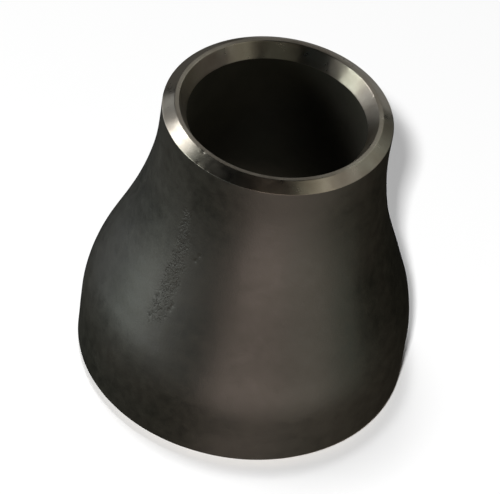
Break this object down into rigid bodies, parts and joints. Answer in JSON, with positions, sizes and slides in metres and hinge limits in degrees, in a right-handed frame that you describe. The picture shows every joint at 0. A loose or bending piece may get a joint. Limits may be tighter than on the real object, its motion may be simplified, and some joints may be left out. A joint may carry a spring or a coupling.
{
  "type": "concentric reducer",
  "caption": "Seamless steel butt-weld pipe fitting that steps a pipeline down to a smaller size on one axis, with both ends bevelled for welding.",
  "frame": {"origin": "centre of the large end's face, which the fitting stands on", "axes": "+Z along the common axis of both ends, from the large end to the small end; the shape is the same at every angle round it"},
  "size_m": [0.0888, 0.0888, 0.089],
  "materials": {
    "black_coating": "thin dark varnish over mill-finish carbon steel, satin and mottled, with the weld bevels, root faces and inside tapers left as bare turned steel"
  },
  "bodies": {
    "root": {"reducer_body": "black_coating"}
  },
  "joints": []
}
